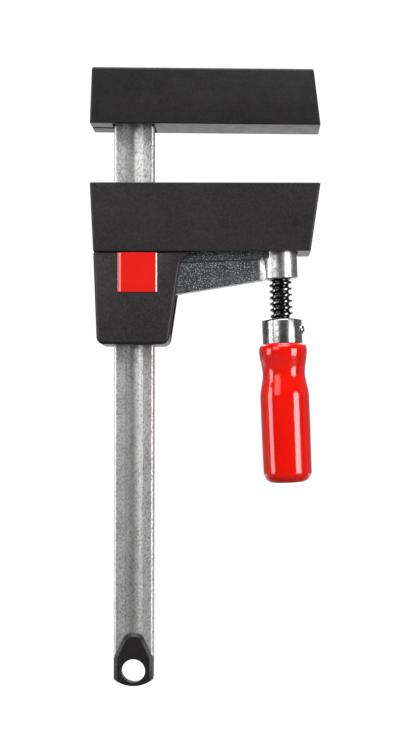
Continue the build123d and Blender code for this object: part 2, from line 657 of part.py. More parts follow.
def handle_profile():
    """Half section of the turned handle, from its top edge to the crowned end."""
    end = HANDLE_TOP - HANDLE_LENGTH
    straight_low = end + HANDLE_END_CROWN + HANDLE_END_RADIUS
    turned = Spline(
        (HANDLE_SHOULDER_RADIUS, HANDLE_TOP - HANDLE_SHOULDER_DEPTH),
        (HANDLE_WAIST_RADIUS, HANDLE_TOP - HANDLE_WAIST_DEPTH),
        (HANDLE_GRIP_RADIUS, HANDLE_TOP - HANDLE_GRIP_DEPTH),
        tangents=((0, -1), (0, -1)),
    )
    shoulder_top = (HANDLE_TOP_RADIUS, HANDLE_TOP)
    grip_top = (HANDLE_GRIP_RADIUS, HANDLE_TOP - HANDLE_GRIP_DEPTH)
    grip_low = (HANDLE_GRIP_RADIUS, straight_low)
    rounded = (HANDLE_GRIP_RADIUS - HANDLE_END_RADIUS, straight_low - HANDLE_END_RADIUS)
    return make_face([
        Line((0, HANDLE_TOP), shoulder_top),
        TangentArc(turned @ 0, shoulder_top, tangent=(0, 1)),
        turned,
        Line(grip_top, grip_low),
        TangentArc(grip_low, rounded, tangent=(0, -1)),
        Polyline(rounded, (0, end), (0, HANDLE_TOP)),
    ])


def make_handle():
    handle = revolve(Plane.XZ * handle_profile(), Axis.Z)
    handle += upright(0, HANDLE_TOP, -FERRULE_DEPTH - FERRULE_WALL, FERRULE_RADIUS - FERRULE_WALL)
    tang_low = -FERRULE_DEPTH - FERRULE_WALL - TANG_LENGTH
    handle -= upright(0, tang_low, -FERRULE_DEPTH, TANG_RADIUS)
    return tilted(handle - pin_shank())


NODES = {
    "rail": make_rail,
    "fixed_jaw_body": make_fixed_jaw_body,
    "fixed_jaw_channel": make_fixed_jaw_channel,
    "fixed_jaw_rivets": make_fixed_jaw_rivets,
    "end_cap": make_end_cap,
    "movable_jaw_cover": make_movable_jaw_cover,
    "movable_jaw_channel": make_movable_jaw_channel,
    "channel_rivets": make_channel_rivets,
    "thrust_block": make_thrust_block,
    "guide_housing": make_guide_housing,
    "upper_guide_pin": make_upper_guide_pin,
    "lower_guide_plate": make_lower_guide_plate,
    "brake_spring": make_brake_spring,
    "front_badge": lambda: make_badge(-1),
    "rear_badge": lambda: make_badge(1),
    "thrust_rocker": make_thrust_rocker,
    "retaining_pin": make_retaining_pin,
    "sliding_arm": make_sliding_arm,
    "arm_boss": make_arm_boss,
    "spindle": make_spindle,
    "ferrule": make_ferrule,
    "handle": make_handle,
    "handle_pin": make_handle_pin,
}

os.makedirs("parts", exist_ok=True)
for name, make in NODES.items():
    export_step(make(), f"parts/{name}.step")
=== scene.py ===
"""Looks of a small parallel clamp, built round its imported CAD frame.

Lengths are in metres.  +Z runs up the rail, +X out along the jaws to their tips, and -Y is
the front.  Pieces that turn on the spindle are built upright, with the tilting pivot at
their origin, and then laid on the spindle's axis.
"""

import json
import logging
import math
from collections.abc import Sequence
from dataclasses import dataclass
from enum import Enum
from typing import Any, Union

import bmesh
import bpy
from bmesh.types import BMesh
from bpy.types import Material, Node, NodeSocket, NodeTree, Object
from mathutils import Matrix, Vector

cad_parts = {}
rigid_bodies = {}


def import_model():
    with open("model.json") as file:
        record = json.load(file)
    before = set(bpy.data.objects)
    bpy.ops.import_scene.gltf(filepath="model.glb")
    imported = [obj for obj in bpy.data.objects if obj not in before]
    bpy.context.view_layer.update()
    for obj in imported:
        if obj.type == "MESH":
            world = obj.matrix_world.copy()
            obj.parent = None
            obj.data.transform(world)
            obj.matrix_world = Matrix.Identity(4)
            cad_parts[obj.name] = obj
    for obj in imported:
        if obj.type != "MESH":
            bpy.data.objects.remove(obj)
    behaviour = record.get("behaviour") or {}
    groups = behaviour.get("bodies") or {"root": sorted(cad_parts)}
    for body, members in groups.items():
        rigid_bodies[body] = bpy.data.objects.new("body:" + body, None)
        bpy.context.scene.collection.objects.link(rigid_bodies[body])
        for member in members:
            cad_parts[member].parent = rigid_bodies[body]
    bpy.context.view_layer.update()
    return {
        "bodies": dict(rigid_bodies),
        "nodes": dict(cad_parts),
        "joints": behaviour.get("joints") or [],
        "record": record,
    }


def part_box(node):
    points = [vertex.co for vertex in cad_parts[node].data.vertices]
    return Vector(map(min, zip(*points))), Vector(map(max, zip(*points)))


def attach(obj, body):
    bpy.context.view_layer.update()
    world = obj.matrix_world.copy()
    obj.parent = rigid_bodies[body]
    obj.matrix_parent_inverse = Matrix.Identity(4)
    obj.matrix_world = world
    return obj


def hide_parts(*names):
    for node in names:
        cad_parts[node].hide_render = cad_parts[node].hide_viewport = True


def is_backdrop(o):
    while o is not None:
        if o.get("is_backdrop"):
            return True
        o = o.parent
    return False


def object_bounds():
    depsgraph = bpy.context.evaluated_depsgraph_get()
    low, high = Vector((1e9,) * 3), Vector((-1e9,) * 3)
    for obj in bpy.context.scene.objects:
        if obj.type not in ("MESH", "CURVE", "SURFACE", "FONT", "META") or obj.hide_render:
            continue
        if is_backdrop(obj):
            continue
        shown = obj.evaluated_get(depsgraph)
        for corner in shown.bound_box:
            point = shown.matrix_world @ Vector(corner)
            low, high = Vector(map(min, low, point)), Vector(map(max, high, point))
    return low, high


log = logging.getLogger("clamp")

MM = 0.001
SMOOTH_ANGLE = math.radians(32)
CUT_SNAP = 1e-8
CUT_REACH = 1e-7

Colour = tuple[float, float, float]
Point = tuple[float, float]
Factors = Sequence[float]
Term = Union["Signal", float]

BLACK = (0.0, 0.0, 0.0)
WHITE = (1.0, 1.0, 1.0)


def grey(level: float) -> Colour:
    """Grey of one level."""
    return (level, level, level)


class Body(Enum):
    """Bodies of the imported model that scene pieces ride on."""

    SPINDLE = "spindle"
    JAW = "jaw"


class Slot(Enum):
    """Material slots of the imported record."""

    BLACK_STEEL = "black_steel"
    BRIGHT_STEEL = "bright_steel"
    RED_LACQUER = "red_lacquer"
    RED_PLASTIC = "red_plastic"
    BLACK_PLASTIC = "black_polyamide"


@dataclass(frozen=True)
class Signal:
    """A shader socket that takes part in Python arithmetic."""

    sheet: "NodeSheet"
    socket: NodeSocket

    def _math(self, operation: str, *terms: Term) -> "Signal":
        """Result of a Math node for an operation on some terms."""
        node = self.sheet.node("ShaderNodeMath", {"operation": operation}, dict(enumerate(terms)))
        return Signal(self.sheet, node.outputs[0])

    def __add__(self, other: Term) -> "Signal":
        """Signal plus other."""
        return self._math("ADD", self, other)

    def __radd__(self, other: float) -> "Signal":
        """Other plus signal."""
        return self._math("ADD", other, self)

    def __sub__(self, other: Term) -> "Signal":
        """Signal minus other."""
        return self._math("SUBTRACT", self, other)

    def __rsub__(self, other: float) -> "Signal":
        """Other minus signal."""
        return self._math("SUBTRACT", other, self)

    def __mul__(self, other: Term) -> "Signal":
        """Signal times other."""
        return self._math("MULTIPLY", self, other)

    def __rmul__(self, other: float) -> "Signal":
        """Other times signal."""
        return self._math("MULTIPLY", other, self)

    def __pow__(self, other: float) -> "Signal":
        """Signal to the power of other."""
        return self._math("POWER", self, other)

    def swing(self) -> "Signal":
        """Sine of the signal."""
        return self._math("SINE", self)

    def size(self) -> "Signal":
        """Signal without its sign."""
        return self._math("ABSOLUTE", self)

    def at_most(self, other: Term) -> "Signal":
        """The smaller of the signal and other."""
        return self._math("MINIMUM", self, other)

    def between(self, low: float, high: float, start: float = 0.0, end: float = 1.0) -> "Signal":
        """Spread the signal from one range to another, smoothly and without overshoot.

        Args:
            low: Signal that gives start.
            high: Signal that gives end.
            start: Result at or below low.
            end: Result at or above high.

        Returns:
            The spread signal.
        """
        settings = {"interpolation_type": "SMOOTHSTEP"}
        sockets = {0: self, 1: low, 2: high, 3: start, 4: end}
        node = self.sheet.node("ShaderNodeMapRange", settings, sockets)
        return Signal(self.sheet, node.outputs[0])


class NodeSheet:
    """Node tree that finishes and the studio's sky are drawn on."""

    def __init__(self, tree: NodeTree) -> None:
        """Wrap a node tree."""
        self.tree = tree

    def feed(self, socket: NodeSocket, value: Any) -> None:
        """Link or set one input.

        Args:
            socket: The input socket.
            value: A signal or socket to link, or a plain value.
        """
        if isinstance(value, Signal):
            value = value.socket
        if isinstance(value, NodeSocket):
            self.tree.links.new(value, socket)
        elif socket.type == "RGBA" and len(value) == 3:
            socket.default_value = (*value, 1.0)
        else:
            socket.default_value = value

    def node(self, kind: str, settings: dict[str, Any], sockets: dict[Any, Any]) -> Node:
        """Add a node: its settings first, then what its sockets hold.

        Args:
            kind: The node's type.
            settings: The node's properties by name.
            sockets: Values, signals or sockets by input name or number.

        Returns:
            The new node.
        """
        node = self.tree.nodes.new(kind)
        for name, value in settings.items():
            setattr(node, name, value)
        for name, value in sockets.items():
            self.feed(node.inputs[name], value)
        return node

    def place(self, stretch: Factors = (1, 1, 1)) -> NodeSocket:
        """The point on the piece, in its own metres times a factor along each axis."""
        point = self.node("ShaderNodeTexCoord", {}, {}).outputs["Object"]
        return self.node("ShaderNodeMapping", {}, {"Vector": point, "Scale": stretch}).outputs[0]

    def along(self, axis: str) -> Signal:
        """One coordinate of the point on the piece."""
        node = self.node("ShaderNodeSeparateXYZ", {}, {0: self.place()})
        return Signal(self, node.outputs[axis])

    def cloud(self, grain: float, detail: float = 2.0, stretch: Factors = (1, 1, 1)) -> Signal:
        """Soft noise from 0 to 1: its grain in metres, its finer layers and its stretch."""
        sockets = {"Vector": self.place(stretch), "Scale": 1 / grain, "Detail": detail}
        return Signal(self, self.node("ShaderNodeTexNoise", {}, sockets).outputs[0])

    def cells(self, grain: float) -> Node:
        """Voronoi cells of a size in metres, as a node with Distance and Color."""
        return self.node("ShaderNodeTexVoronoi", {}, {"Vector": self.place(), "Scale": 1 / grain})

    def for_camera(self, seen: NodeSocket, lit: NodeSocket) -> NodeSocket:
        """Show one shader to the camera and another to everything else.

        Args:
            seen: Shader for the camera's own rays.
            lit: Shader for reflections and light.

        Returns:
            The mixed shader.
        """
        path = self.node("ShaderNodeLightPath", {}, {})
        sockets = {0: path.outputs["Is Camera Ray"], 1: lit, 2: seen}
        return self.node("ShaderNodeMixShader", {}, sockets).outputs[0]

    def blend(self, share: Signal, low: Any, high: Any) -> NodeSocket:
        """Mix two colours or colour sockets; the share is how much of the second."""
        settings = {"data_type": "RGBA"}
        return self.node("ShaderNodeMix", settings, {0: share, 6: low, 7: high}).outputs[2]

    def relief(self, height: Signal, depth: float, below: Any = None) -> NodeSocket:
        """Turn a height from 0 to 1 into a bumped normal.

        Args:
            height: The height.
            depth: Depth of a full step, in metres.
            below: A normal from a coarser relief, or None.

        Returns:
            The normal.
        """
        sockets = {"Height": height, "Distance": depth, "Strength": 1.0}
        if below is not None:
            sockets["Normal"] = below
        return self.node("ShaderNodeBump", {}, sockets).outputs[0]


class FinishSheet(NodeSheet):
    """Node sheet of one material, round its Principled shader."""

    def __init__(self, name: str) -> None:
        """Start a material of this name."""
        self.material = bpy.data.materials.new(name)
        self.material.use_nodes = True
        super().__init__(self.material.node_tree)
        self.shader = self.tree.nodes["Principled BSDF"]

    def surface(self, **values: Any) -> Material:
        """Feed the Principled shader by input name, with _ for spaces, and give the material."""
        for name, value in values.items():
            self.feed(self.shader.inputs[name.replace("_", " ")], value)
        return self.material


@dataclass(frozen=True)
class MouldedPolyamide:
    """Glass-filled black plastic with a fine moulded grain, pale flecks and a little lint."""

    name: str
    tone: Colour = (0.0100, 0.0088, 0.0092)
    fleck_gain: float = 2.6
    lint_tone: Colour = (0.14, 0.14, 0.145)
    lint_spacing: float = 2.3 * MM
    grain: float = 0.42 * MM
    fleck_size: float = 1.1 * MM
    scuff_size: float = 5 * MM
    flow_size: float = 26 * MM
    relief_depth: float = 0.022 * MM
    base_roughness: float = 0.31
    shine: float = 0.34
    gate_marks: tuple[Point, ...] = ()
    gate_radius: float = 2.6 * MM
    gate_line: float = 0.35 * MM
    gate_depth: float = 0.8

    def build(self) -> Material:
        """Make the material."""
        sheet = FinishSheet(self.name)
        flow = sheet.cloud(self.flow_size, 3.0)
        fleck = sheet.cloud(self.fleck_size, 3.0)
        grain = sheet.cloud(self.grain, 2.0)
        scuffs = sheet.cloud(self.scuff_size, 4.0, (1.0, 1.0, 3.0))
        lint = Signal(sheet, sheet.cells(self.lint_spacing).outputs["Distance"])
        lint = lint.between(0.0, 0.09, 1.0, 0.0) * fleck.between(0.56, 0.70)
        pale = tuple(self.fleck_gain * part for part in self.tone)
        paleness = flow.between(0.30, 0.70) * 0.2 + fleck.between(0.36, 0.70) * 0.5
        height = grain + flow * 2.0
        for x, z in self.gate_marks:
            height = height - self._gate(sheet, x, z)
        roughness = flow * 0.08 + scuffs.between(0.35, 0.75) * 0.07 + grain * 0.05
        plastic = sheet.blend(paleness, self.tone, pale)
        return sheet.surface(
            Base_Color=sheet.blend(lint * 0.35, plastic, self.lint_tone),
            Roughness=roughness + self.base_roughness,
            Specular_IOR_Level=self.shine,
            Normal=sheet.relief(height, self.relief_depth),
        )

    def _gate(self, sheet: FinishSheet, x: float, z: float) -> Signal:
        """Shallow round line where the mould was filled.

        Args:
            sheet: The material's node sheet.
            x: Place across the jaw.
            z: Place up the rail.

        Returns:
            Its depth.
        """
        across = sheet.along("X") - x
        up = sheet.along("Z") - z
        distance = (across * across + up * up) ** 0.5
        off_line = (distance - self.gate_radius).size()
        return off_line.between(0.0, self.gate_line, self.gate_depth, 0.0)


@dataclass(frozen=True)
class DrawnSteel:
    """Cold drawn bar with fine pits and draw lines, a groove painted darker as shade and a painted
    highlight along the heel edge.
    """

    name: str = "drawn_steel"
    tone: Colour = (0.84, 0.84, 0.835)
    dark_tone: Colour = (0.25, 0.25, 0.246)
    base_roughness: float = 0.45
    groove_half: float = 4.4 * MM
    groove_inner: float = 4.1 * MM
    groove_outer: float = 4.5 * MM
    edge_inner: float = 8.6 * MM
    edge_outer: float = 9.0 * MM
    edge_highlight_share: float = 0.6
    flank_start: float = -0.6 * MM
    flank_end: float = 8.9 * MM
    flank_depth: float = 1.7 * MM
    line_size: float = 0.35 * MM
    pit_size: float = 0.9 * MM
    patch_size: float = 5.0 * MM
    relief_depth: float = 0.030 * MM

    def build(self) -> Material:
        """Make the material."""
        sheet = FinishSheet(self.name)
        across = sheet.along("X")
        groove = across.size().between(self.groove_inner, self.groove_outer, 1.0, 0.0)
        flank = across.at_most(self.groove_half).between(self.flank_start, self.flank_end)
        # Painted highlight: the colour along the heel (-X) edge alone is blended towards white, as
        # if lit from the left.
        painted_edge_highlight = across.between(-self.edge_outer, -self.edge_inner, self.edge_highlight_share, 0.0)
        pits = sheet.cloud(self.pit_size, 3.0, (1.0, 1.0, 0.8)).between(0.30, 0.58)
        patch = sheet.cloud(self.patch_size, 3.0, (1.0, 1.0, 0.5))
        lines = sheet.cloud(self.line_size, 2.0, (1.0, 1.0, 0.02))
        bright = pits * 0.60 + patch.between(0.3, 0.7) * 0.20 + lines * 0.20
        # Painted shade: the groove's colour is made up to 15% darker than the flats.
        steel = sheet.blend(bright * (1 - groove * 0.15), self.dark_tone, self.tone)
        height = pits * (1 - groove * 0.5) + patch * 2.0 + lines * 0.3
        return sheet.surface(
            Base_Color=sheet.blend(painted_edge_highlight, steel, WHITE),
            Metallic=1.0,
            Roughness=(1 - pits) * 0.10 + lines * 0.06 - groove * 0.08 + self.base_roughness,
            Normal=sheet.relief(height, self.relief_depth, sheet.relief(flank, self.flank_depth)),
        )


@dataclass(frozen=True)
class HammeredPaint:
    """Dark grey hammered enamel over a casting, with bright flakes."""

    name: str = "hammered_paint"
    tone: Colour = (0.125, 0.135, 0.146)
    dark_tone: Colour = (0.036, 0.040, 0.044)
    flake_tone: Colour = (0.80, 0.82, 0.84)
    dimple_size: float = 0.85 * MM
    flake_size: float = 0.50 * MM
    casting_size: float = 6 * MM
    relief_depth: float = 0.08 * MM
    base_metal: float = 0.45
    base_roughness: float = 0.34

    def build(self) -> Material:
        """Make the material."""
        sheet = FinishSheet(self.name)
        dimples = Signal(sheet, sheet.cells(self.dimple_size).outputs["Distance"])
        fine = sheet.cells(self.flake_size)
        chance = sheet.node("ShaderNodeSeparateColor", {}, {0: fine.outputs["Color"]}).outputs[0]
        near = Signal(sheet, fine.outputs["Distance"]).between(0.15, 0.50, 1.0, 0.0)
        flakes = Signal(sheet, chance).between(0.42, 0.72) * near
        casting = sheet.cloud(self.casting_size, 3.0)
        shade = casting.between(0.3, 0.7) * 0.5 + dimples.between(0.1, 0.7) * 0.5
        enamel = sheet.blend(shade, self.dark_tone, self.tone)
        height = dimples.between(0.0, 0.7) + casting * 2.0 + flakes * 0.5
        return sheet.surface(
            Base_Color=sheet.blend(flakes, enamel, self.flake_tone),
            Metallic=flakes * 0.35 + self.base_metal,
            Roughness=dimples * 0.15 + self.base_roughness,
            Coat_Weight=0.4,
            Coat_Roughness=0.18,
            Normal=sheet.relief(height, self.relief_depth),
        )


@dataclass(frozen=True)
class BrightPlate:
    """Bright zinc plate over turned steel, with rings from the lathe and a cloudy shine."""

    name: str
    tone: Colour = grey(0.68)
    dull_tone: Colour = grey(0.26)
    base_roughness: float = 0.08
    ring_pitch: float = 0.35 * MM
    ring_sway: float = 0.2 * MM
    sway_size: float = 1.6 * MM
    stain_size: float = 3.0 * MM
    speck_size: float = 1.0 * MM
    relief_depth: float = 0.010 * MM

    def build(self) -> Material:
        """Make the material."""
        sheet = FinishSheet(self.name)
        sway = sheet.cloud(self.sway_size, 2.0)
        stain = sheet.cloud(self.stain_size, 4.0)
        speck = sheet.cloud(self.speck_size, 3.0)
        rings = ((sheet.along("Z") + sway * self.ring_sway) * (math.tau / self.ring_pitch)).swing()
        dull = stain.between(0.35, 0.70) * 0.5 + speck.between(0.45, 0.65) * 0.5
        height = rings * 0.4 + sway * 3.0 + stain * 3.0 + speck * 3.0
        return sheet.surface(
            Base_Color=sheet.blend(dull, self.tone, self.dull_tone),
            Metallic=1.0,
            Roughness=stain * 0.22 + speck * 0.08 + self.base_roughness,
            Normal=sheet.relief(height, self.relief_depth),
        )


@dataclass(frozen=True)
class BlackenedSteel:
    """Rolled thread, blackened and oiled, worn bright on the crests."""

    crest_radius: float
    name: str = "blackened_steel"
    tone: Colour = (0.022, 0.021, 0.020)
    worn_tone: Colour = (0.30, 0.29, 0.28)
    worn_depth: float = 0.3 * MM
    patch_size: float = 1.4 * MM
    grain: float = 0.25 * MM
    relief_depth: float = 0.012 * MM
    base_metal: float = 0.8
    base_roughness: float = 0.08

    def build(self) -> Material:
        """Make the material."""
        sheet = FinishSheet(self.name)
        across = sheet.along("X")
        deep = sheet.along("Y")
        radius = (across * across + deep * deep) ** 0.5
        patches = sheet.cloud(self.patch_size, 3.0)
        crest = radius.between(self.crest_radius - self.worn_depth, self.crest_radius)
        worn = crest * patches.between(0.42, 0.62)
        return sheet.surface(
            Base_Color=sheet.blend(worn, self.tone, self.worn_tone),
            Metallic=worn * 0.2 + self.base_metal,
            Roughness=patches * 0.2 + self.base_roughness,
            Coat_Weight=0.5,
            Coat_Roughness=0.06,
            Normal=sheet.relief(patches + sheet.cloud(self.grain), self.relief_depth),
        )


@dataclass(frozen=True)
class RedLacquer:
    """Thick gloss lacquer over turned wood, which shows faintly as grain and orange peel."""

    name: str = "red_lacquer"
    tone: Colour = (0.86, 0.0080, 0.0025)
    deep_tone: Colour = (0.73, 0.0050, 0.0025)
    grain: float = 0.55 * MM
    peel_size: float = 1.0 * MM
    pool_size: float = 14 * MM
    relief_depth: float = 0.05 * MM
    base_roughness: float = 0.08

    def build(self) -> Material:
        """Make the material."""
        sheet = FinishSheet(self.name)
        pores = sheet.cloud(self.grain, 4.0, (1.0, 1.0, 0.05)).between(0.56, 0.72)
        peel = sheet.cloud(self.peel_size, 3.0)
        pool = sheet.cloud(self.pool_size, 2.0)
        deepness = pores * 0.35 + pool.between(0.4, 0.8) * 0.3
        return sheet.surface(
            Base_Color=sheet.blend(deepness, self.tone, self.deep_tone),
            Roughness=peel * 0.10 + self.base_roughness,
            Specular_IOR_Level=0.15,
            Coat_Weight=1.0,
            Coat_Roughness=0.05,
            Normal=sheet.relief(peel - pores * 0.3 + pool * 3.0, self.relief_depth),
        )


@dataclass(frozen=True)
class RedPlastic:
    """Glossy moulded plastic of the bare badges."""

    name: str = "red_plastic"
    tone: Colour = (0.86, 0.014, 0.007)
    deep_tone: Colour = (0.75, 0.012, 0.007)
    wave_size: float = 6 * MM
    grain: float = 0.5 * MM
    relief_depth: float = 0.02 * MM
    base_roughness: float = 0.11

    def build(self) -> Material:
        """Make the material."""
        sheet = FinishSheet(self.name)
        wave = sheet.cloud(self.wave_size, 2.0)
        fine = sheet.cloud(self.grain, 2.0)
        return sheet.surface(
            Base_Color=sheet.blend(wave.between(0.3, 0.7) * 0.4, self.tone, self.deep_tone),
            Roughness=fine * 0.08 + self.base_roughness,
            Specular_IOR_Level=0.3,
            Coat_Weight=1.0,
            Coat_Roughness=0.04,
            Coat_IOR=1.9,
            Normal=sheet.relief(wave + fine * 0.2, self.relief_depth),
        )


@dataclass(frozen=True)
class SheetSteel:
    """Zinc-plated folded or ground steel, for the inner parts."""

    name: str
    tone: Colour
    base_roughness: float
    shadow: float = 0.6
    line_size: float = 0.3 * MM
    line_stretch: tuple[float, float, float] = (0.05, 1.0, 1.0)
    spangle_size: float = 4 * MM
    relief_depth: float = 0.008 * MM

    def build(self) -> Material:
        """Make the material."""
        sheet = FinishSheet(self.name)
        lines = sheet.cloud(self.line_size, 2.0, self.line_stretch)
        spangle = sheet.cloud(self.spangle_size, 3.0)
        darker = tuple(self.shadow * part for part in self.tone)
        return sheet.surface(
            Base_Color=sheet.blend(spangle.between(0.35, 0.7), self.tone, darker),
            Metallic=1.0,
            Roughness=lines * 0.15 + spangle * 0.1 + self.base_roughness,
            Normal=sheet.relief(lines + spangle, self.relief_depth),
        )


def dress(piece: Object, material: Material) -> None:
    """Give a piece one material."""
    piece.data.materials.clear()
    piece.data.materials.append(material)


@dataclass
class CadDresser:
    """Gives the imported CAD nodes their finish, and softens their sharp edges."""

    nodes: dict[str, Object]
    weld: float = 0.002 * MM
    segments: int = 2

    def finish(self, names: Sequence[str], material: Material, edge: float = 0.0) -> None:
        """Dress some nodes.

        Args:
            names: The nodes' names.
            material: Their material.
            edge: Width of the rounding that sharp edges get, or 0 for none.
        """
        for name in names:
            node = self.nodes[name]
            dress(node, material)
            for face in node.data.polygons:
                face.use_smooth = True
            weld = node.modifiers.new("weld", "WELD")
            weld.merge_threshold = self.weld
            if edge:
                bevel = node.modifiers.new("bevel", "BEVEL")
                bevel.width = edge
                bevel.segments = self.segments
                bevel.limit_method = "ANGLE"
                bevel.angle_limit = SMOOTH_ANGLE
            split = node.modifiers.new("split", "EDGE_SPLIT")
            split.split_angle = SMOOTH_ANGLE
            log.info("dressed %s with %s", name, material.name)


@dataclass
class SpindleAxis:
    """The tilted axis that the spindle turns on, with the pivot as its zero."""

    pivot: Vector
    up: Vector

    @classmethod
    def from_frame(cls, frame: dict[str, Any]) -> "SpindleAxis":
        joint = next(j for j in frame["joints"] if j["name"] == "spindle_turn")
        return cls(Vector(joint["pos_m"]), Vector(joint["axis"]).normalized())

    def matrix(self) -> Matrix:
        """Place of an upright piece on the axis."""
        back = Vector((0, 1, 0))
        across = back.cross(self.up).normalized()
        rotation = Matrix((across, back, self.up)).transposed().to_4x4()
        return Matrix.Translation(self.pivot) @ rotation

    def span(self, node: Object) -> tuple[float, float]:
        """Lowest and highest place of a CAD node along the axis."""
        heights = [(vertex.co - self.pivot).dot(self.up) for vertex in node.data.vertices]
        return min(heights), max(heights)


class MeshShop:
    """Makes closed meshes from profiles."""

    @staticmethod
    def turned(radius: float, angle: float, height: float) -> Vector:
        """Point at a radius and an angle round Z."""
        return Vector((radius * math.cos(angle), radius * math.sin(angle), height))

    @staticmethod
    def lathe(profile: Sequence[Point], sides: int, closed: bool = False) -> BMesh:
        """Turn a half section round Z.

        Args:
            profile: (radius, height) pairs; an end that lies on the axis becomes a point.
            sides: Number of sides.
            closed: Whether the section is a loop that stays off the axis.

        Returns:
            The closed mesh.
        """
        mesh = bmesh.new()
        angles = [math.tau * side / sides for side in range(sides)]
        rings = []
        for radius, height in profile:
            turns = angles if radius else angles[:1]
            rings.append([mesh.verts.new(MeshShop.turned(radius, turn, height)) for turn in turns])
        for below, above in zip(rings, rings[1:] + rings[: int(closed)]):
            MeshShop.bridge(mesh, below, above)
        bmesh.ops.recalc_face_normals(mesh, faces=mesh.faces)
        return mesh

    @staticmethod
    def bridge(mesh: BMesh, below: list, above: list) -> None:
        """Join two closed rings, either of which may be a single point.

        Args:
            mesh: The mesh.
            below: Vertices of one ring.
            above: Vertices of the next.
        """
        sides = max(len(below), len(above))
        for side in range(sides):
            following = (side + 1) % sides
            if len(below) == 1:
                mesh.faces.new((below[0], above[following], above[side]))
            elif len(above) == 1:
                mesh.faces.new((below[side], below[following], above[0]))
            else:
                mesh.faces.new((below[side], below[following], above[following], above[side]))

    @staticmethod
    def piece(name: str, mesh: BMesh, place: Matrix) -> Object:
        """Turn a bmesh into a smooth piece.

        Args:
            name: The piece's name.
            mesh: Its mesh, which is freed.
            place: Its place in the frame.

        Returns:
            The linked object.
        """
        data = bpy.data.meshes.new(name)
        mesh.to_mesh(data)
        mesh.free()
        for face in data.polygons:
            face.use_smooth = True
        piece = bpy.data.objects.new(name, data)
        bpy.context.scene.collection.objects.link(piece)
        piece.matrix_world = place
        split = piece.modifiers.new("split", "EDGE_SPLIT")
        split.split_angle = SMOOTH_ANGLE
        return piece


class ScenePiece:
    """A piece of the scene's own, which rides a body and may stand for a CAD node."""

    title: str
    body = Body.JAW
    slot: Slot
    stands_for = ""

    def mesh(self) -> BMesh:
        """The piece's mesh, which build() frees."""
        raise NotImplementedError

    def place(self) -> Matrix:
        """Where the mesh stands in the frame."""
        return Matrix.Identity(4)

    def build(self, material: Material) -> None:
        """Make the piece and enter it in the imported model.

        Args:
            material: Its finish.
        """
        piece = MeshShop.piece(self.title, self.mesh(), self.place())
        dress(piece, material)
        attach(piece, self.body.value)
        if self.stands_for:
            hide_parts(self.stands_for)
        log.info("built %s with %d faces", piece.name, len(piece.data.polygons))


@dataclass
class SpindlePiece(ScenePiece):
    """A turned piece on the spindle's axis, over its plain CAD node."""

    axis: SpindleAxis
    node: Object
    body = Body.SPINDLE

    def place(self) -> Matrix:
        """The spindle's axis."""
        return self.axis.matrix()

    def span(self) -> tuple[float, float]:
        """Lowest and highest place of the CAD node along the axis."""
        return self.axis.span(self.node)


